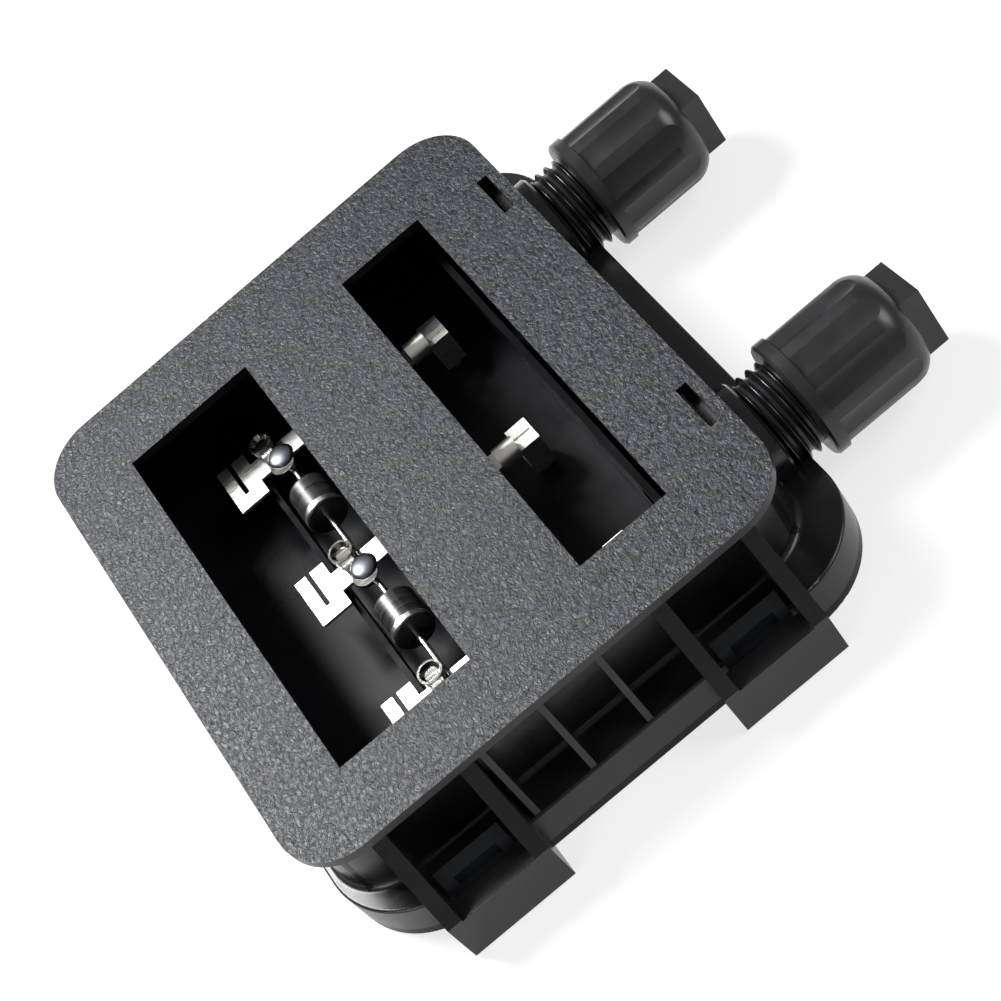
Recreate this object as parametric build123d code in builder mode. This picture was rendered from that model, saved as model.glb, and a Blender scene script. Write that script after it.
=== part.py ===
# Photovoltaic junction box: base with bonding plate, snap-on lid, three diode terminals, two cable glands.
# Millimetres. +Z points from the lid to the bonding face, +X to the glands. Lengths along X are measured
# from the middle of the bonding plate. The files' origin is under the middle of the whole box.
from build123d import *
import math
import os

os.makedirs("parts", exist_ok=True)

# bonding plate
plate_x = 110.0
plate_y = 130.0
plate_t = 2.0
plate_corner = 12.5
window_y = 95.0
window_at_y = -1.0
diode_window_x = 30.0
diode_window_at = -23.5
clamp_window_x = 19.8
clamp_window_at = 26.8
slot_x = 2.4
slot_y = 11.8
slot_depth = 4.0
slot_inset = 3.6

# housing: lid plate, flange above it, walls up to the bonding plate
lid_t = 2.5
flange_h = 8.1
wall_h = 18.4
wall_t = 2.5
body_shift = 0.5
body_x = 106.0
body_y = 122.0
body_corner = 11.0
body_foot_fillet = 1.4
flange_shift = 3.5
flange_x = 116.6
flange_y = 139.4
flange_corner = 18.0
flange_edge = 0.6
rib_t = 1.3
rib_pitch = 13.0
rib_mid = -3.9
rib_count = 3

# seal groove in the flange, and the gasket in it
groove_inset = 1.5
groove_w = 2.2
groove_depth = 2.6
gasket_gap = 0.1
bead_h = 0.9
bead_gap = 0.3

# snap latches
latch_shift = 1.1
latch_pitch = 63.0
latch_x = 23.2
arm_t = 3.2
latch_out = 12.3
bar_t = 2.0
bar_h = 11.0
bar_bottom = 0.7
shelf_t = 2.0
tongue_x = 14.7
tongue_t = 1.5
tongue_gap = 0.3
tongue_top = 18.1
hook_out = 0.7
hook_h = 3.6
hook_gap = 0.3
hook_pass = 0.3
pocket_x = 9.6
pocket_h = 2.8
pocket_depth = 1.2
pocket_rim = 0.8

# terminals
terminal_pitch = 37.4
strip_t = 0.8
strip_top = 15.5
strip_w = 5.2
head_x = 7.0
head_y = 13.0
head_at = -28.0
head_slot_w = 1.1
head_slot_l = 9.6
head_slot_at = 3.2
bar_end = 12.5
joggle_x = 4.0
joggle_drop = 2.9
neck_w = 4.4
neck_lap = 0.5
stake_r = 1.5
stake_gap = 0.1
stake_head_r = 2.5
stake_head_h = 1.0
seat_x = 17.0
seat_y = 11.0
seat_at = 3.0
seat_wall = 2.0
rail_w = 1.2
rail_h = 5.0
rail_at = -20.6
rail_top = 13.0

# diodes and the clips that hold their leads
diode_r = 4.4
diode_l = 9.1
lead_r = 0.65
diode_at = -14.4
lead_stop = 0.6
lead_lift = 0.02
diode_edge = 0.5
clip_w = 2.6
clip_t = 0.45
clip_gap = 0.15
clip_shift = 2.2
clip_rise = 0.9
clip_hook = 0.8
cup_r = 2.6
cup_out = 2.9
cup_h = 1.5
cup_bowl_r = 1.5
cup_floor = 0.5
lobe_r = 2.7
lobe_out = 5.2
lobe_shift = 1.2
lobe_h = 0.9

# cable clamps
cage_x = 4.8
cage_y = 6.4
cage_h = 8.4
cage_t = 0.9
cage_at = 24.8
cage_gap = 0.1
seam_w = 0.5
seam_l = 3.9
barrel_x = 4.4
barrel_r = 2.4
barrel_t = 0.9
barrel_shift = 2.6
barrel_gap = 0.1
barrel_lap = 0.3
screw_r = 1.6
screw_head_r = 2.1
screw_head_h = 1.8
screw_slot_w = 0.7
screw_slot_d = 0.9
screw_gap = 0.05
screw_in = 4.2
screw_lift = 0.1
guide_w = 1.4
guide_at = 35.4
guide_top = 21.6
guide_bottom = 4.6
guide_notch_r = 5.8

# cable glands
gland_pitch = 75.0
gland_z = 14.0
neck_r = 9.0
thread_r = 10.2
spigot_l = 23.5
spigot_bore_r = 7.4
wall_bore_r = 5.5
seal_seat = 4.0
nut_start = 66.1
nut_ring_l = 2.8
nut_r = 12.7
nut_body_r = 12.2
nut_l = 24.0
nut_dome_l = 5.6
nut_dome_r = 9.4
nut_dome_bulge = 1.1
nut_chamfer = 0.5
nut_block_l = 4.5
nut_block_side = 13.3
nut_turn_1 = -6.0
nut_turn_2 = -12.6
nut_panels = 10
nut_panel_r = 9.5
nut_panel_cut = 0.55
nut_gap = 0.05
nut_bore_l = 15.6
nut_cone_l = 3.4
nut_mouth_r = 5.4
seal_gap = 0.1
seal_bore_r = 4.5
seal_lip_r = 8.6
seal_lip_l = 1.6
seal_nose_l = 2.6
seal_nose_r = 6.4

# heights and edges that follow from the sizes above
flange_top = lid_t + flange_h
plate_bottom = flange_top + wall_h
bond_face = plate_bottom + plate_t
cavity_x = body_x - 2 * wall_t
cavity_y = body_y - 2 * wall_t
cavity_corner = body_corner - wall_t
plate_edge = plate_y / 2
flange_edge_y = flange_y / 2
wall_edge_y = body_y / 2
body_edge_x = body_shift + body_x / 2
latch_face = plate_edge + latch_out
tongue_in = flange_edge_y + tongue_gap
tongue_face = tongue_in + tongue_t
hook_face = tongue_face + hook_out
shelf_face = hook_face + hook_pass
bar_top = bar_bottom + bar_h
latch_middles = [latch_shift - latch_pitch / 2, latch_shift + latch_pitch / 2]
terminal_rows = [("1", terminal_pitch), ("2", 0.0), ("3", -terminal_pitch)]
gland_rows = [("1", gland_pitch / 2, nut_turn_1), ("2", -gland_pitch / 2, nut_turn_2)]
strip_bottom = strip_top - strip_t
end_top = strip_top - joggle_drop
end_bottom = end_top - strip_t
head_middle = head_at + head_x / 2
lead_z = strip_top + lead_r + lead_lift
lead_top = lead_z + lead_r
clip_x = diode_at - clip_shift
clip_leg = strip_w / 2 + clip_gap + clip_t / 2
clip_low = strip_bottom - clip_gap - clip_t / 2
clip_spring = lead_top + clip_gap + clip_t / 2
cage_top = end_top + cage_gap + cage_t
cage_bottom = cage_top - cage_h
barrel_z = end_top + barrel_gap + barrel_r
nut_end = nut_start + nut_l
spigot_end = body_edge_x + spigot_l
thread_bore_r = thread_r + nut_gap
frame_middle_x = (nut_end + nut_block_l - plate_x / 2) / 2


def save(part, name):
    """Moves a finished piece to the shared frame, labels it and writes its file."""
    placed = Pos(-frame_middle_x, 0, 0) * part
    placed.label = name
    export_step(placed, f"parts/{name}.step")


def latch_arm_outline(side):
    """Side plate of a latch loop, seen along X: from the wall, out over the plate's edge, down to the bar."""
    root = wall_edge_y - wall_t / 2
    clear = flange_edge_y + tongue_gap
    points = [
        (root, plate_bottom),
        (plate_edge, plate_bottom),
        (latch_face, bar_top + 0.5),
        (latch_face, bar_bottom),
        (clear, bar_bottom),
        (clear, lid_t),
        (root, lid_t),
    ]
    return [(side * y, z) for y, z in points]


def rib_outline(side):
    """Gusset between the plate's edge and the flange's edge, seen along X."""
    root = wall_edge_y - wall_t / 2
    points = [
        (root, plate_bottom),
        (plate_edge, plate_bottom),
        (flange_edge_y - flange_edge, flange_top),
        (root, flange_top - 1),
    ]
    return [(side * y, z) for y, z in points]


# ---- base housing ----
with BuildPart() as base:
    # walls, with a rounded foot where they meet the flange
    with BuildSketch(Plane.XY.offset(lid_t)):
        with Locations((flange_shift, 0)):
            RectangleRounded(flange_x, flange_y, flange_corner)
    extrude(amount=flange_h)
    fillet(base.faces().sort_by(Axis.Z)[-1].edges(), flange_edge)
    with BuildSketch(Plane.XY.offset(flange_top)):
        with Locations((body_shift, 0)):
            RectangleRounded(body_x, body_y, body_corner)
    extrude(amount=wall_h)
    foot = base.edges().filter_by(
        lambda e: abs(e.center().Z - flange_top) < 0.01 and e.bounding_box().size.Z < 0.01
    )
    inner_foot = [
        e for e in foot
        if e.bounding_box().max.X <= body_edge_x + 0.01
        and e.bounding_box().min.X >= body_shift - body_x / 2 - 0.01
        and abs(e.center().Y) <= body_y / 2 + 0.01
    ]
    fillet(inner_foot, body_foot_fillet)
    # bonding plate
    with BuildSketch(Plane.XY.offset(plate_bottom)):
        RectangleRounded(plate_x, plate_y, plate_corner)
    extrude(amount=plate_t)
    # gussets between the latches, and the latch loops' side plates, on both long sides
    for side in (-1, 1):
        for n in range(rib_count):
            rib_x = rib_mid + (n - (rib_count - 1) / 2) * rib_pitch
            with BuildSketch(Plane.YZ.offset(rib_x - rib_t / 2)):
                with BuildLine():
                    Polyline(*rib_outline(side), close=True)
                make_face()
            extrude(amount=rib_t)
        for middle in latch_middles:
            for arm_x in (middle - latch_x / 2, middle + latch_x / 2 - arm_t):
                with BuildSketch(Plane.YZ.offset(arm_x)):
                    with BuildLine():
                        Polyline(*latch_arm_outline(side), close=True)
                    make_face()
                extrude(amount=arm_t)
            with Locations((middle, side * (latch_face - bar_t / 2), bar_bottom)):
                Box(latch_x, bar_t, bar_h, align=(Align.CENTER, Align.CENTER, Align.MIN))
            with Locations((middle, side * (shelf_face + latch_face) / 2, bar_top)):
                Box(latch_x, latch_face - shelf_face, shelf_t, align=(Align.CENTER, Align.CENTER, Align.MAX))
    # threaded spigots for the glands
    for _, gland_y, _ in gland_rows:
        with BuildSketch(Plane.YZ.offset(body_edge_x - wall_t / 2)):
            with Locations((gland_y, gland_z)):
                Circle(neck_r)
        extrude(amount=spigot_l + wall_t / 2)
        with BuildSketch(Plane.YZ.offset(nut_start)):
            with Locations((gland_y, gland_z)):
                Circle(thread_r)
        extrude(amount=body_edge_x + spigot_l - nut_start)
    # cavity, open to the lid
    with BuildSketch(Plane.XY.offset(lid_t)):
        with Locations((body_shift, 0)):
            RectangleRounded(cavity_x, cavity_y, cavity_corner)
    extrude(amount=plate_bottom - lid_t, mode=Mode.SUBTRACT)
    # seal groove in the flange's lower face
    with BuildSketch(Plane.XY.offset(lid_t)):
        with Locations((flange_shift, 0)):
            RectangleRounded(
                flange_x - 2 * groove_inset, flange_y - 2 * groove_inset, flange_corner - groove_inset
            )
            RectangleRounded(
                flange_x - 2 * (groove_inset + groove_w),
                flange_y - 2 * (groove_inset + groove_w),
                flange_corner - groove_inset - groove_w,
                mode=Mode.SUBTRACT,
            )
    extrude(amount=groove_depth, mode=Mode.SUBTRACT)
    # gland bores: a wide seat for the seal, a narrower hole through the wall
    for _, gland_y, _ in gland_rows:
        with BuildSketch(Plane.YZ.offset(body_edge_x + seal_seat)):
            with Locations((gland_y, gland_z)):
                Circle(spigot_bore_r)
        extrude(amount=spigot_l, mode=Mode.SUBTRACT)
        with BuildSketch(Plane.YZ.offset(body_edge_x - wall_t - 1)):
            with Locations((gland_y, gland_z)):
                Circle(wall_bore_r)
        extrude(amount=seal_seat + wall_t + 2, mode=Mode.SUBTRACT)
    # seats that carry the terminal strips: two webs and a floor under the bridge between the windows
    for _, row_y in terminal_rows:
        with Locations((seat_at, row_y, strip_top)):
            Box(seat_x, seat_y, seat_wall, align=(Align.CENTER, Align.CENTER, Align.MIN))
        for web in (-1, 1):
            with Locations((seat_at, row_y + web * (seat_y - seat_wall) / 2, strip_top)):
                Box(seat_x, seat_wall, plate_bottom - strip_top, align=(Align.CENTER, Align.CENTER, Align.MIN))
        with Locations((seat_at, row_y, strip_top)):
            Cylinder(stake_r, strip_t + stake_head_h / 2, align=(Align.CENTER, Align.CENTER, Align.MAX))
        with Locations((seat_at, row_y, strip_bottom)):
            Cylinder(stake_head_r, stake_head_h, align=(Align.CENTER, Align.CENTER, Align.MAX))
    # rail beside the diodes and guide wall for the cables, from wall to wall
    with Locations((rail_at, 0, rail_top)):
        Box(rail_w, cavity_y + wall_t, rail_h, align=(Align.CENTER, Align.CENTER, Align.MAX))
    with Locations((guide_at, 0, guide_top)):
        Box(guide_w, cavity_y + wall_t, guide_top - guide_bottom, align=(Align.CENTER, Align.CENTER, Align.MAX))
    for _, gland_y, _ in gland_rows:
        with BuildSketch(Plane.YZ.offset(guide_at - guide_w)):
            with Locations((gland_y, gland_z)):
                Circle(guide_notch_r)
            with Locations((gland_y, (gland_z + guide_bottom - 1) / 2)):
                Rectangle(2 * guide_notch_r, gland_z - guide_bottom + 1)
        extrude(amount=2 * guide_w, mode=Mode.SUBTRACT)
    # windows and the two small slots in the bonding plate
    with BuildSketch(Plane.XY.offset(plate_bottom - 1)):
        with Locations((diode_window_at, window_at_y)):
            Rectangle(diode_window_x, window_y)
        with Locations((clamp_window_at, window_at_y)):
            Rectangle(clamp_window_x, window_y)
    extrude(amount=plate_t + 2, mode=Mode.SUBTRACT)
    with BuildSketch(Plane.XY.offset(bond_face)):
        for _, gland_y, _ in gland_rows:
            with Locations((plate_x / 2 - slot_inset, gland_y)):
                Rectangle(slot_x, slot_y)
    extrude(amount=-slot_depth, mode=Mode.SUBTRACT)
save(base.part, "base_housing")

# ---- lid ----
with BuildPart() as lid:
    with BuildSketch(Plane.XY):
        with Locations((flange_shift, 0)):
            RectangleRounded(flange_x, flange_y, flange_corner)
    extrude(amount=lid_t)
    fillet(lid.faces().sort_by(Axis.Z)[0].edges(), flange_edge)
    # bead that presses the gasket
    with BuildSketch(Plane.XY.offset(lid_t)):
        with Locations((flange_shift, 0)):
            RectangleRounded(
                flange_x - 2 * (groove_inset + bead_gap),
                flange_y - 2 * (groove_inset + bead_gap),
                flange_corner - groove_inset - bead_gap,
            )
            RectangleRounded(
                flange_x - 2 * (groove_inset + groove_w - bead_gap),
                flange_y - 2 * (groove_inset + groove_w - bead_gap),
                flange_corner - groove_inset - groove_w + bead_gap,
                mode=Mode.SUBTRACT,
            )
    extrude(amount=bead_h)
    # snap tongues: foot outside the flange, upright blade, wedge hook with a cored pocket
    for side in (-1, 1):
        for middle in latch_middles:
            hook_low = bar_top + hook_gap
            outline = [
                (flange_edge_y - 2 * flange_edge, 0),
                (tongue_face, 0),
                (tongue_face, hook_low),
                (hook_face, hook_low),
                (tongue_face, hook_low + hook_h),
                (tongue_in, tongue_top),
                (tongue_in, lid_t),
                (flange_edge_y - 2 * flange_edge, lid_t),
            ]
            with BuildSketch(Plane.YZ.offset(middle - tongue_x / 2)):
                with BuildLine():
                    Polyline(*[(side * y, z) for y, z in outline], close=True)
                make_face()
            extrude(amount=tongue_x)
            with Locations((middle, side * hook_face, hook_low + pocket_rim)):
                Box(
                    pocket_x,
                    2 * pocket_depth,
                    pocket_h,
                    align=(Align.CENTER, Align.CENTER, Align.MIN),
                    mode=Mode.SUBTRACT,
                )
save(lid.part, "lid")

# ---- gasket in the groove ----
with BuildPart() as gasket:
    outer = groove_inset + gasket_gap
    inner = groove_inset + groove_w - gasket_gap
    with BuildSketch(Plane.XY.offset(lid_t + bead_h)):
        with Locations((flange_shift, 0)):
            RectangleRounded(flange_x - 2 * outer, flange_y - 2 * outer, flange_corner - outer)
            RectangleRounded(
                flange_x - 2 * inner, flange_y - 2 * inner, flange_corner - inner, mode=Mode.SUBTRACT
            )
    extrude(amount=groove_depth - bead_h)
save(gasket.part, "lid_gasket")

# ---- terminals, diode clips, cable clamps and their screws ----
for number, row_y in terminal_rows:
    with BuildPart() as terminal:
        with BuildSketch(Plane.XY.offset(strip_bottom)):
            with Locations((head_middle, row_y)):
                Rectangle(head_x, head_y)
            with Locations(((head_middle + bar_end) / 2, row_y)):
                Rectangle(bar_end - head_middle, strip_w)
            with Locations((head_at + head_slot_at, row_y + (head_y - head_slot_l) / 2)):
                Rectangle(head_slot_w, head_slot_l, mode=Mode.SUBTRACT)
            with Locations((seat_at, row_y)):
                Circle(stake_r + stake_gap, mode=Mode.SUBTRACT)
        extrude(amount=strip_t)
        # step down to the clamp, with the flat end inside the cage
        step = [
            (bar_end - neck_lap, strip_top),
            (bar_end - neck_lap, strip_bottom),
            (bar_end, strip_bottom),
            (bar_end + joggle_x, end_bottom),
            (cage_at + cage_x / 2, end_bottom),
            (cage_at + cage_x / 2, end_top),
            (bar_end + joggle_x, end_top),
            (bar_end, strip_top),
        ]
        with BuildSketch(Plane.XZ.offset(-row_y - neck_w / 2)):
            with BuildLine():
                Polyline(*step, close=True)
            make_face()
        extrude(amount=neck_w)
    save(terminal.part, f"terminal_{number}")

    with BuildPart() as clip:
        # arch over the strip, with a leg on each side hooked under it
        with BuildSketch(Plane.YZ.offset(clip_x - clip_w / 2)):
            with BuildLine():
                Polyline(
                    (row_y - clip_leg + clip_hook, clip_low),
                    (row_y - clip_leg, clip_low),
                    (row_y - clip_leg, clip_spring),
                )
                ThreePointArc(
                    (row_y - clip_leg, clip_spring),
                    (row_y, clip_spring + clip_rise),
                    (row_y + clip_leg, clip_spring),
                )
                Polyline(
                    (row_y + clip_leg, clip_spring),
                    (row_y + clip_leg, clip_low),
                    (row_y + clip_leg - clip_hook, clip_low),
                )
            trace(line_width=clip_t)
        extrude(amount=clip_w)
        # cup on one side and half disc on the other, lying over the leads
        with Locations((clip_x, row_y + cup_out, lead_top + clip_gap)):
            Cylinder(cup_r, cup_h, align=(Align.CENTER, Align.CENTER, Align.MIN))
        with Locations((clip_x, row_y + cup_out, lead_top + clip_gap + cup_floor)):
            Cone(
                cup_bowl_r,
                cup_r - clip_t,
                cup_h - cup_floor,
                align=(Align.CENTER, Align.CENTER, Align.MIN),
                mode=Mode.SUBTRACT,
            )
        with Locations((clip_x + lobe_shift, row_y - lobe_out, lead_top + clip_gap)):
            Cylinder(lobe_r, lobe_h, align=(Align.CENTER, Align.CENTER, Align.MIN))
    save(clip.part, f"diode_clip_{number}")

    with BuildPart() as cage:
        # folded sleeve round the strip's end, with the fold's seam on top
        with BuildSketch(Plane.YZ.offset(cage_at - cage_x / 2)):
            with Locations((row_y, cage_top - cage_h / 2)):
                Rectangle(cage_y, cage_h)
                Rectangle(cage_y - 2 * cage_t, cage_h - 2 * cage_t, mode=Mode.SUBTRACT)
        extrude(amount=cage_x)
        with Locations((cage_at, row_y, cage_top)):
            Box(
                seam_l,
                seam_w,
                cage_t - cage_gap,
                align=(Align.CENTER, Align.CENTER, Align.MAX),
                mode=Mode.SUBTRACT,
            )
        with Locations((cage_at, row_y, cage_bottom)):
            Cylinder(
                screw_r + screw_gap,
                cage_t,
                align=(Align.CENTER, Align.CENTER, Align.MIN),
                mode=Mode.SUBTRACT,
            )
        # short round sleeve beside it, for the conductor's end
        with BuildSketch(Plane.YZ.offset(cage_at - cage_x / 2 - barrel_x)):
            with Locations((row_y - barrel_shift, barrel_z)):
                Circle(barrel_r)
                Circle(barrel_r - barrel_t, mode=Mode.SUBTRACT)
        extrude(amount=barrel_x + barrel_lap)
    save(cage.part, f"cable_clamp_{number}")

    with BuildPart() as screw:
        with Locations((cage_at, row_y, cage_bottom - screw_lift)):
            Cylinder(screw_head_r, screw_head_h, align=(Align.CENTER, Align.CENTER, Align.MAX))
            Cylinder(screw_r, screw_in, align=(Align.CENTER, Align.CENTER, Align.MIN))
        with Locations((cage_at, row_y, cage_bottom - screw_lift - screw_head_h)):
            Box(
                2 * screw_head_r,
                screw_slot_w,
                screw_slot_d,
                align=(Align.CENTER, Align.CENTER, Align.MIN),
                mode=Mode.SUBTRACT,
            )
    save(screw.part, f"clamp_screw_{number}")

# ---- diodes: a round body between two neighbouring terminals, a lead out of each end ----
for number in (1, 2):
    upper_y = terminal_rows[number - 1][1]
    lower_y = terminal_rows[number][1]
    middle_y = (upper_y + lower_y) / 2
    with BuildPart() as diode:
        with BuildSketch(Plane.XZ.offset(-middle_y - diode_l / 2)):
            with Locations((diode_at, lead_z)):
                Circle(diode_r)
        extrude(amount=diode_l)
        fillet(diode.edges().filter_by(GeomType.CIRCLE), diode_edge)
    save(diode.part, f"diode_{number}_body")
    with BuildPart() as leads:
        for end_y, strip_y in ((middle_y + diode_l / 2, upper_y), (middle_y - diode_l / 2, lower_y)):
            tip_y = strip_y + (lead_stop if strip_y < end_y else -lead_stop)
            with BuildSketch(Plane.XZ.offset(-max(end_y, tip_y))):
                with Locations((diode_at, lead_z)):
                    Circle(lead_r)
            extrude(amount=abs(tip_y - end_y))
    save(leads.part, f"diode_{number}_leads")

# ---- cable glands: nut and rubber seal ----
for number, gland_y, nut_turn in gland_rows:
    along = Plane(origin=(0, gland_y, gland_z), x_dir=(1, 0, 0), z_dir=(0, -1, 0))
    with BuildPart() as nut:
        # outside: ring, tapering body, round shoulder
        with BuildSketch(along):
            with BuildLine():
                Polyline(
                    (nut_start, 0),
                    (nut_start, nut_r - nut_chamfer),
                    (nut_start + nut_chamfer, nut_r),
                    (nut_start + nut_ring_l, nut_r),
                    (nut_start + nut_ring_l, nut_body_r),
                    (nut_end - nut_dome_l, nut_body_r),
                )
                RadiusArc(
                    (nut_end - nut_dome_l, nut_body_r), (nut_end, nut_dome_r), nut_dome_l * nut_dome_bulge
                )
                Polyline((nut_end, nut_dome_r), (nut_end, 0), (nut_start, 0))
            make_face()
        revolve(axis=Axis((0, gland_y, gland_z), (1, 0, 0)))
        # square end for a spanner
        with BuildSketch(Plane.YZ.offset(nut_end)):
            with Locations((gland_y, gland_z)):
                Rectangle(nut_block_side, nut_block_side, rotation=nut_turn)
        extrude(amount=nut_block_l)
        # shallow grip panels round the body
        with BuildSketch(Plane.YZ.offset(nut_start + nut_ring_l)):
            with Locations((gland_y, gland_z)):
                with PolarLocations(nut_body_r + nut_panel_r - nut_panel_cut, nut_panels):
                    Circle(nut_panel_r)
        extrude(amount=nut_end - nut_start - nut_ring_l, mode=Mode.SUBTRACT)
        # inside: thread bore, cone that squeezes the seal, mouth
        with BuildSketch(along):
            with BuildLine():
                Polyline(
                    (nut_start, 0),
                    (nut_start, thread_bore_r),
                    (nut_start + nut_bore_l, thread_bore_r),
                    (nut_start + nut_bore_l + nut_cone_l, nut_mouth_r),
                    (nut_end + nut_block_l, nut_mouth_r),
                    (nut_end + nut_block_l, 0),
                    close=True,
                )
            make_face()
        revolve(axis=Axis((0, gland_y, gland_z), (1, 0, 0)), mode=Mode.SUBTRACT)
    save(nut.part, f"gland_nut_{number}")

    with BuildPart() as seal:
        # sleeve in the spigot, lip over its end, nose towards the nut's cone
        with BuildSketch(along):
            with BuildLine():
                Polyline(
                    (body_edge_x + seal_seat + seal_gap, seal_bore_r),
                    (body_edge_x + seal_seat + seal_gap, spigot_bore_r - seal_gap),
                    (spigot_end + seal_gap, spigot_bore_r - seal_gap),
                    (spigot_end + seal_gap, seal_lip_r),
                    (spigot_end + seal_gap + seal_lip_l, seal_lip_r),
                    (spigot_end + seal_gap + seal_lip_l + seal_nose_l, seal_nose_r),
                    (spigot_end + seal_gap + seal_lip_l + seal_nose_l, seal_bore_r),
                    close=True,
                )
            make_face()
        revolve(axis=Axis((0, gland_y, gland_z), (1, 0, 0)))
    save(seal.part, f"gland_seal_{number}")
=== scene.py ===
import math

import bmesh
import bpy
import numpy as np
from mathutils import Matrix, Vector


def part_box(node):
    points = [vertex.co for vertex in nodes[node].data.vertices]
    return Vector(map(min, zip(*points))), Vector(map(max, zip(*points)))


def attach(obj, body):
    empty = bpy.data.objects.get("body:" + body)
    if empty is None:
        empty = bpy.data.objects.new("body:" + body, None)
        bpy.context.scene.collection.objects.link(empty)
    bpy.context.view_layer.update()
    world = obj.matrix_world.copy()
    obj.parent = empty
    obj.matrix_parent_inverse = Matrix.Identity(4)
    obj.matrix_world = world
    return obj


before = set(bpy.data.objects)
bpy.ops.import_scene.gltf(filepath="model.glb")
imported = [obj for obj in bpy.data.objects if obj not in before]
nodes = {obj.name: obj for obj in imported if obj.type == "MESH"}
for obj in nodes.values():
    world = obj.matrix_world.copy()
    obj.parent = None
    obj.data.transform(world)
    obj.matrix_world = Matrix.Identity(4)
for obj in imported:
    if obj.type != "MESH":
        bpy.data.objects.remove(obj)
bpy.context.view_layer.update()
mm = 0.001  # sizes of pieces are in mm, those of textures and of the studio in metres
scene = bpy.context.scene
print("loaded", len(nodes), "nodes")


# ---------- materials ----------
def newMaterial(name, colour, rough, metal, gloss):
    material = bpy.data.materials.new(name)
    material.use_nodes = True
    shader = material.node_tree.nodes["Principled BSDF"]
    shader.inputs["Base Color"].default_value = (*colour, 1)
    shader.inputs["Roughness"].default_value = rough
    shader.inputs["Metallic"].default_value = metal
    shader.inputs["Specular IOR Level"].default_value = gloss
    return material, material.node_tree, shader


def mathNode(tree, operation, *values):
    # values: sockets or plain numbers, in the order of the node's inputs
    node = tree.nodes.new("ShaderNodeMath")
    node.operation = operation
    for socket, value in zip(node.inputs, values):
        if isinstance(value, (int, float)):
            socket.default_value = value
        else:
            tree.links.new(value, socket)
    return node.outputs["Value"]


def objectCoords(tree, scale=(1, 1, 1), rotation=(0, 0, 0)):
    coords = tree.nodes.new("ShaderNodeTexCoord")
    mapping = tree.nodes.new("ShaderNodeMapping")
    mapping.inputs["Scale"].default_value = scale
    mapping.inputs["Rotation"].default_value = rotation
    tree.links.new(coords.outputs["Object"], mapping.inputs["Vector"])
    return mapping.outputs["Vector"]


def noise(tree, vector, scale, detail, rough=0.55, distortion=0.0):
    node = tree.nodes.new("ShaderNodeTexNoise")
    node.inputs["Scale"].default_value = scale
    node.inputs["Detail"].default_value = detail
    node.inputs["Roughness"].default_value = rough
    node.inputs["Distortion"].default_value = distortion
    tree.links.new(vector, node.inputs["Vector"])
    return node.outputs["Fac"]


def ramp(tree, factor, stops):
    # stops: (place, colour) of the two ends
    node = tree.nodes.new("ShaderNodeValToRGB")
    for element, (place, colour) in zip(node.color_ramp.elements, stops):
        element.position = place
        element.color = (*colour, 1)
    tree.links.new(factor, node.inputs["Fac"])
    return node.outputs["Color"]


def shaded(colour, share):
    return [channel * share for channel in colour]


# most of a noise's values lie between these two
noiseSpan = (0.3, 0.7)


def roughnessFrom(tree, shader, value, low, high):
    node = tree.nodes.new("ShaderNodeMapRange")
    node.inputs["From Min"].default_value, node.inputs["From Max"].default_value = noiseSpan
    node.inputs["To Min"].default_value = low
    node.inputs["To Max"].default_value = high
    tree.links.new(value, node.inputs["Value"])
    tree.links.new(node.outputs["Result"], shader.inputs["Roughness"])


def bump(tree, shader, height, strength, distance):
    node = tree.nodes.new("ShaderNodeBump")
    node.inputs["Strength"].default_value = strength
    node.inputs["Distance"].default_value = distance
    tree.links.new(height, node.inputs["Height"])
    tree.links.new(node.outputs["Normal"], shader.inputs["Normal"])


plasticLook = {
    "toneScale": 45,
    "toneDetail": 3,
    "darkest": 0.8,
    "lightest": 1.25,
    "swirlScale": 120,
    "swirlDetail": 4,
    "smoother": 0.05,
    "rougher": 0.09,
    "grainScale": 700,
    "grainDetail": 3,
    "grainStrength": 0.12,
    "grainDepth": 0.00004,
}


def mouldedPlastic(name, colour, rough, gloss):
    # dark plastic: faint tone changes, soft swirls in the gloss, fine grain
    look = plasticLook
    material, tree, shader = newMaterial(name, colour, rough, 0, gloss)
    vector = objectCoords(tree)
    tone = noise(tree, vector, look["toneScale"], look["toneDetail"])
    ends = zip(noiseSpan, (shaded(colour, look["darkest"]), shaded(colour, look["lightest"])))
    tree.links.new(ramp(tree, tone, ends), shader.inputs["Base Color"])
    swirl = noise(tree, vector, look["swirlScale"], look["swirlDetail"])
    fine = noise(tree, vector, look["grainScale"], look["grainDetail"])
    roughnessFrom(tree, shader, swirl, rough - look["smoother"], rough + look["rougher"])
    bump(tree, shader, fine, look["grainStrength"], look["grainDepth"])
    return material


grainLook = {
    # colours of the grain's valleys (dark, painted shade) and of its peaks (painted lighter)
    "low": (0.0015, 0.002, 0.003),
    "high": (0.022, 0.0245, 0.031),
    "rough": 0.34,
    "gloss": 0.23,
    "stretch": (1.25, 0.8, 1),
    "turn": 8,
    "waveScale": 320,
    "waveDetail": 3,
    "waveRough": 0.6,
    "waveShare": 0.35,
    "cellScale": 980,
    "cellDetail": 3,
    "cellRough": 0.72,
    "cellBend": 0.8,
    "valley": 0.52,
    "peak": 0.82,
    "strength": 0.9,
    "depth": 0.0003,
}


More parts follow.
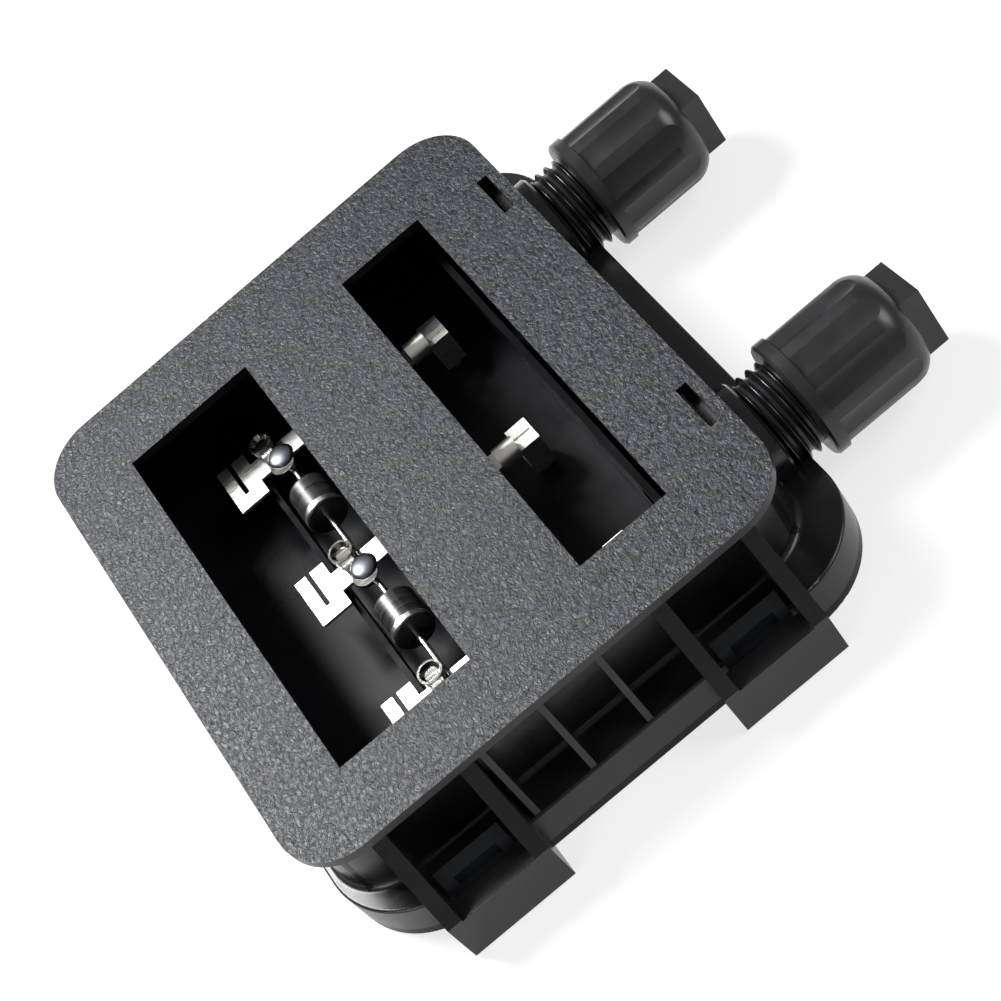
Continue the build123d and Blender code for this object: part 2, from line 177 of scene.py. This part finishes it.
def grainedFaceShadedValleys(name):
    # spark-eroded grain: fine cells, slightly drawn out, on slow waves; the colour follows the grain's
    # height, so the valleys carry painted shade and the peaks are painted lighter
    look = grainLook
    material, tree, shader = newMaterial(name, look["high"], look["rough"], 0, look["gloss"])
    vector = objectCoords(tree, look["stretch"], (0, 0, math.radians(look["turn"])))
    wave = noise(tree, vector, look["waveScale"], look["waveDetail"], look["waveRough"])
    cells = noise(tree, vector, look["cellScale"], look["cellDetail"], look["cellRough"], look["cellBend"])
    height = mathNode(tree, "MULTIPLY_ADD", wave, look["waveShare"], cells)
    # colour taken from the height: painted shade in the grain's valleys, lighter on its peaks
    paintedValleyShade = ramp(tree, height, [(look["valley"], look["low"]), (look["peak"], look["high"])])
    tree.links.new(paintedValleyShade, shader.inputs["Base Color"])
    bump(tree, shader, height, look["strength"], look["depth"])
    return material


metalLook = {
    "gloss": 0.5,
    "brush": (1, 14, 14),
    "brushScale": 160,
    "brushDetail": 4,
    "smoother": 0.06,
    "rougher": 0.08,
    "toneScale": 300,
    "toneDetail": 2,
    "darkest": 0.88,
    "depth": 0.00002,
}


def metalSheet(name, colour, rough, streak):
    # plated sheet: fine brushing along X, faint tone changes
    look = metalLook
    material, tree, shader = newMaterial(name, colour, rough, 1, look["gloss"])
    brushed = noise(tree, objectCoords(tree, look["brush"]), look["brushScale"], look["brushDetail"])
    roughnessFrom(tree, shader, brushed, rough - look["smoother"], rough + look["rougher"])
    tone = noise(tree, objectCoords(tree), look["toneScale"], look["toneDetail"])
    ends = zip(noiseSpan, (shaded(colour, look["darkest"]), colour))
    tree.links.new(ramp(tree, tone, ends), shader.inputs["Base Color"])
    bump(tree, shader, brushed, streak, look["depth"])
    return material


ringLook = {
    "colour": (0.012, 0.012, 0.013),
    "rough": 0.3,
    "gloss": 0.6,
    "stretch": (0.4, 9, 0.4),
    "scale": 190,
    "detail": 3,
    "ringRough": 0.7,
    # ring colour from darker to twice as light as the body colour: painted shade and painted glints
    "dark": (0.35, 0.6),
    "light": (0.65, 2),
    "smoother": 0.08,
    "rougher": 0.1,
    "strength": 0.5,
    "depth": 0.00008,
}


def ringsWithPaintedGlints(name):
    # diode body: moulded rings across its length; their colour runs darker and lighter with the ring pattern,
    # which is painted shade and painted glints on the rings
    look = ringLook
    material, tree, shader = newMaterial(name, look["colour"], look["rough"], 0, look["gloss"])
    rings = noise(tree, objectCoords(tree, look["stretch"]), look["scale"], look["detail"], look["ringRough"])
    # colour from the ring pattern: painted shade between the rings, painted glints on them
    ends = [(place, shaded(look["colour"], share)) for place, share in (look["dark"], look["light"])]
    tree.links.new(ramp(tree, rings, ends), shader.inputs["Base Color"])
    roughnessFrom(tree, shader, rings, look["rough"] - look["smoother"], look["rough"] + look["rougher"])
    bump(tree, shader, rings, look["strength"], look["depth"])
    return material


# colour, roughness, gloss
plastics = {
    "housingPlastic": ((0.006, 0.006, 0.007), 0.27, 0.34),
    # darker, less glossy copy of housingPlastic for the inside of the cavity: painted shade
    "shadedInsidePlastic": ((0.004, 0.004, 0.005), 0.2, 0.08),
    "lidPlastic": ((0.0048, 0.0053, 0.0066), 0.3, 0.12),
    "nutPlastic": ((0.0085, 0.0085, 0.0095), 0.3, 0.44),
    "threadPlastic": ((0.004, 0.004, 0.005), 0.2, 0.4),
    "rubber": ((0.014, 0.014, 0.014), 0.7, 0.3),
}
# colour, roughness, brushing
metals = {
    "tinnedStrip": ((0.9, 0.89, 0.86), 0.3, 0.25),
    "clampTin": ((0.85, 0.83, 0.78), 0.32, 0.3),
    "clipMetal": ((0.34, 0.33, 0.31), 0.14, 0.2),
    "screwMetal": ((0.6, 0.58, 0.52), 0.3, 0.2),
    "leadWire": ((0.85, 0.84, 0.82), 0.18, 0.1),
    "bandPaint": ((0.8, 0.8, 0.79), 0.32, 0.2),
    "beadMetal": ((0.1, 0.105, 0.12), 0.36, 0.6),
}
surfaces = {name: mouldedPlastic(name, *values) for name, values in plastics.items()}
surfaces.update({name: metalSheet(name, *values) for name, values in metals.items()})
surfaces["grainedFaceShadedValleys"] = grainedFaceShadedValleys("grainedFaceShadedValleys")
surfaces["diodeRingsPaintedGlints"] = ringsWithPaintedGlints("diodeRingsPaintedGlints")

# the longest start of a node's name that is listed here gives its surface
finishes = {
    "base_housing": "housingPlastic",
    "lid": "lidPlastic",
    "lid_gasket": "rubber",
    "gland_nut": "nutPlastic",
    "gland_seal": "rubber",
    "terminal": "tinnedStrip",
    "diode_clip": "clipMetal",
    "diode_1": "diodeRingsPaintedGlints",
    "diode_2": "diodeRingsPaintedGlints",
    "diode_1_leads": "leadWire",
    "diode_2_leads": "leadWire",
    "cable_clamp": "clampTin",
    "clamp_screw": "screwMetal",
}
for name, node in nodes.items():
    fitting = max((key for key in finishes if name.startswith(key)), key=len)
    node.data.materials.clear()
    node.data.materials.append(surfaces[finishes[fitting]])

# the bonding face takes the grained finish; the inside of the walls and the slots take a smoother but darker
# and less glossy copy of the housing plastic, which is painted shade inside the cavity
inside = {"pastHeads": 22, "beforeSeals": 6.4, "halfWidth": 58.6, "underFace": 0.05, "facingUp": 0.9}
housing = nodes["base_housing"]
housing.data.materials.append(surfaces["grainedFaceShadedValleys"])
housing.data.materials.append(surfaces["shadedInsidePlastic"])
# box of the cavity whose faces get the painted shade
cavityLow = Vector((
    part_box("terminal_1")[0].x - inside["pastHeads"] * mm,
    -inside["halfWidth"] * mm,
    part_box("lid_gasket")[0].z,
))
cavityHigh = Vector((
    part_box("gland_seal_1")[0].x - inside["beforeSeals"] * mm,
    inside["halfWidth"] * mm,
    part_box("base_housing")[1].z - inside["underFace"] * mm,
))
for polygon in housing.data.polygons:
    middle = polygon.center
    if polygon.normal.z > inside["facingUp"] and middle.z > cavityHigh.z:
        polygon.material_index = 1
    elif all(low < place < high for low, place, high in zip(cavityLow, middle, cavityHigh)):
        polygon.material_index = 2
print("materials on")


# ---------- turned pieces: a closed loop of points swept round an axis ----------
meshing = {"sameVertex": 0.000001, "sharpDegrees": 40}


def ringMesh(name, place, radius, centre, axis, material, body):
    # place, radius: rows x columns. Point = centre + place along the axis + radius * (cos a, sin a) across it
    rows, columns = radius.shape
    angle = np.linspace(0, 2 * math.pi, columns, endpoint=False)[None, :]
    across = radius * np.cos(angle), radius * np.sin(angle)
    order = {"x": (place, *across), "y": (across[1], place, across[0]), "z": (*across, place)}[axis]
    points = np.stack([part + middle for part, middle in zip(order, centre)], axis=-1).reshape(-1, 3)
    index = np.arange(rows * columns).reshape(rows, columns)
    up = np.roll(index, -1, axis=0)
    faces = np.stack([index, np.roll(index, -1, axis=1), np.roll(up, -1, axis=1), up], axis=-1).reshape(-1, 4)
    mesh = bpy.data.meshes.new(name)
    mesh.from_pydata(points.tolist(), [], faces.tolist())
    cleaner = bmesh.new()
    cleaner.from_mesh(mesh)
    bmesh.ops.remove_doubles(cleaner, verts=cleaner.verts, dist=meshing["sameVertex"])
    bmesh.ops.recalc_face_normals(cleaner, faces=cleaner.faces)
    cleaner.to_mesh(mesh)
    cleaner.free()
    mesh.materials.append(material)
    mesh.shade_smooth()
    mesh.set_sharp_from_angle(angle=math.radians(meshing["sharpDegrees"]))
    piece = bpy.data.objects.new(name, mesh)
    scene.collection.objects.link(piece)
    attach(piece, body)
    return piece


def revolved(name, outline, centre, axis, material, body, columns):
    # outline: (place, radius) pairs of a closed loop, in mm
    loop = np.array(outline) * mm
    place = np.repeat(loop[:, :1], columns, axis=1)
    radius = np.repeat(loop[:, 1:], columns, axis=1)
    return ringMesh(name, place, radius, centre, axis, material, body)


# thread on each gland spigot, with the collar at its root: places along it count back from the nut
glandThread = {
    "core": 8.75,
    "crest": 10.17,
    "collar": 11.2,
    "collarStart": -13.4,
    "collarEnd": -7.7,
    "collarEdge": 0.5,
    "end": -0.06,
    "pitch": 2.2,
    "fade": 0.9,
    "inside": 8.2,
    "rows": 110,
    "columns": 112,
}


def buildThread(number):
    form = glandThread
    nutLow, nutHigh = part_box(f"gland_nut_{number}")
    centre = (nutLow.x, (nutLow.y + nutHigh.y) / 2, (nutLow.z + nutHigh.z) / 2)
    along = np.linspace(form["collarEnd"], form["end"], form["rows"])[:, None]
    turn = np.linspace(0, 1, form["columns"], endpoint=False)[None, :]
    # radius = core + height * (0.5 - 0.5 cos(2 pi (x / pitch - turn))), faded out at both ends
    ridge = 0.5 - 0.5 * np.cos(2 * math.pi * (along / form["pitch"] - turn))
    ends = np.clip(np.minimum(along - form["collarEnd"], form["end"] - along) / form["fade"], 0, 1)
    outer = form["core"] + (form["crest"] - form["core"]) * ridge * ends
    fixed = np.array([
        (form["collarStart"], form["inside"]),
        (form["collarStart"], form["collar"]),
        (form["collarEnd"] - form["collarEdge"], form["collar"]),
        (form["collarEnd"], form["collar"] - form["collarEdge"]),
    ])
    last = np.array([(form["end"], form["inside"])])
    wide = np.ones((1, form["columns"]))
    place = np.vstack([fixed[:, :1] * wide, along * wide, last[:, :1] * wide])
    radius = np.vstack([fixed[:, 1:] * wide, outer, last[:, 1:] * wide])
    surface = surfaces["threadPlastic"]
    piece = ringMesh(f"gland_thread_{number}", place * mm, radius * mm, centre, "x", surface, "base")


# painted ring at one end of each diode body
diodeBand = {"start": 0.55, "width": 1.15, "raise": 0.03, "inside": 0.3, "columns": 96}


def buildBand(number):
    low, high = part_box(f"diode_{number}_body")
    centre = ((low.x + high.x) / 2, low.y, (low.z + high.z) / 2)
    radius = (high.z - low.z) / 2 / mm
    near, far = diodeBand["start"], diodeBand["start"] + diodeBand["width"]
    top, bottom = radius + diodeBand["raise"], radius - diodeBand["inside"]
    outline = [(near, bottom), (near, top), (far, top), (far, bottom)]
    surface = surfaces["bandPaint"]
    piece = revolved(f"diode_band_{number}", outline, centre, "y", surface, "base", diodeBand["columns"])


# pressed bead on each clip: x from the clip's edge, y from the row, base from the strip's top
clipBead = {"x": 4.5, "y": -3.5, "base": 2.45, "radius": 2.9, "height": 0.9, "steps": 14, "columns": 56}


def buildBead(number):
    form = clipBead
    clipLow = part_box(f"diode_clip_{number}")[0]
    stripLow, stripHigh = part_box(f"terminal_{number}")
    row = (stripLow.y + stripHigh.y) / 2
    centre = (clipLow.x + form["x"] * mm, row + form["y"] * mm, stripHigh.z + form["base"] * mm)
    # quarter ellipse from the rim to the top, then down the axis
    swing = np.linspace(0, math.pi / 2, form["steps"])[:-1]
    rim = [(form["height"] * math.sin(angle), form["radius"] * math.cos(angle)) for angle in swing]
    outline = [(0, 0), *rim, (form["height"], 0)]
    surface = surfaces["beadMetal"]
    piece = revolved(f"clip_bead_{number}", outline, centre, "z", surface, "base", form["columns"])


for number in (1, 2):
    buildThread(number)
    buildBand(number)
for number in (1, 2, 3):
    buildBead(number)
print("threads, bands and beads built")

# ---------- floor, background, lights ----------
studio = {
    "floorColour": 0.86,
    "floorRough": 0.85,
    "floorGloss": 0.1,
    "floorSize": 4.0,
    "floorDrop": 0.00005,
    "floorWhite": 0.72,
    "paperGlow": 1.0,
    "worldStrength": 0.32,
}
# power, place, size
lamps = {
    "keyLight": (21, (-0.36, 0.5, 0.74), 0.36),
    "fillLight": (6, (0.75, -0.35, 0.8), 0.5),
    "rimLight": (3, (-0.7, -0.5, 0.35), 0.35),
}


def floorPaint():
    # the floor keeps its shaded colour, mixed with plain white where it is seen or mirrored
    colour = (studio["floorColour"],) * 3
    material, tree, shader = newMaterial("floorPaint", colour, studio["floorRough"], 0, studio["floorGloss"])
    rays = tree.nodes.new("ShaderNodeLightPath").outputs
    seen = mathNode(tree, "MAXIMUM", rays["Is Camera Ray"], rays["Is Glossy Ray"])
    shown = mathNode(tree, "MAXIMUM", seen, rays["Is Transmission Ray"])
    share = mathNode(tree, "MULTIPLY", shown, studio["floorWhite"])
    paper = tree.nodes.new("ShaderNodeEmission")
    paper.inputs["Strength"].default_value = studio["paperGlow"]
    mixed = tree.nodes.new("ShaderNodeMixShader")
    for socket, source in zip(mixed.inputs, (share, shader.outputs["BSDF"], paper.outputs["Emission"])):
        tree.links.new(source, socket)
    tree.links.new(mixed.outputs["Shader"], tree.nodes["Material Output"].inputs["Surface"])
    return material


bpy.ops.mesh.primitive_plane_add(size=studio["floorSize"], location=(0, 0, -studio["floorDrop"]))
floor = bpy.context.object
floor.name = "studioFloor"
floor.data.materials.append(floorPaint())

world = bpy.data.worlds.new("studioWorld")
scene.world = world
world.use_nodes = True
background = world.node_tree.nodes["Background"]
background.inputs["Color"].default_value = (1, 1, 1, 1)
background.inputs["Strength"].default_value = studio["worldStrength"]


def addLamp(name, power, place, size):
    light = bpy.data.lights.new(name, "AREA")
    light.size = size
    light.energy = power
    lamp = bpy.data.objects.new(name, light)
    scene.collection.objects.link(lamp)
    lamp.location = place
    lamp.rotation_euler = (-Vector(place)).to_track_quat("-Z", "Y").to_euler()


for name, values in lamps.items():
    addLamp(name, *values)
print("studio built")

# ---------- camera ----------
view = {
    "place": (-0.00378, -0.32546, 0.37272),
    "turnDegrees": (31.033, 26.502, -31.399),
    "lens": 89.91,
    "sensor": 36.0,
    "shiftX": 0.05743,
    "shiftY": 0.13565,
    "nearest": 0.01,
    "farthest": 20,
}
cameraData = bpy.data.cameras.new("viewCamera")
camera = bpy.data.objects.new("viewCamera", cameraData)
scene.collection.objects.link(camera)
camera.location = view["place"]
camera.rotation_euler = [math.radians(angle) for angle in view["turnDegrees"]]
cameraData.lens = view["lens"]
cameraData.sensor_width = view["sensor"]
cameraData.shift_x = view["shiftX"]
cameraData.shift_y = view["shiftY"]
cameraData.clip_start = view["nearest"]
cameraData.clip_end = view["farthest"]
scene.camera = camera
scene.view_settings.view_transform = "Standard"

print("done")
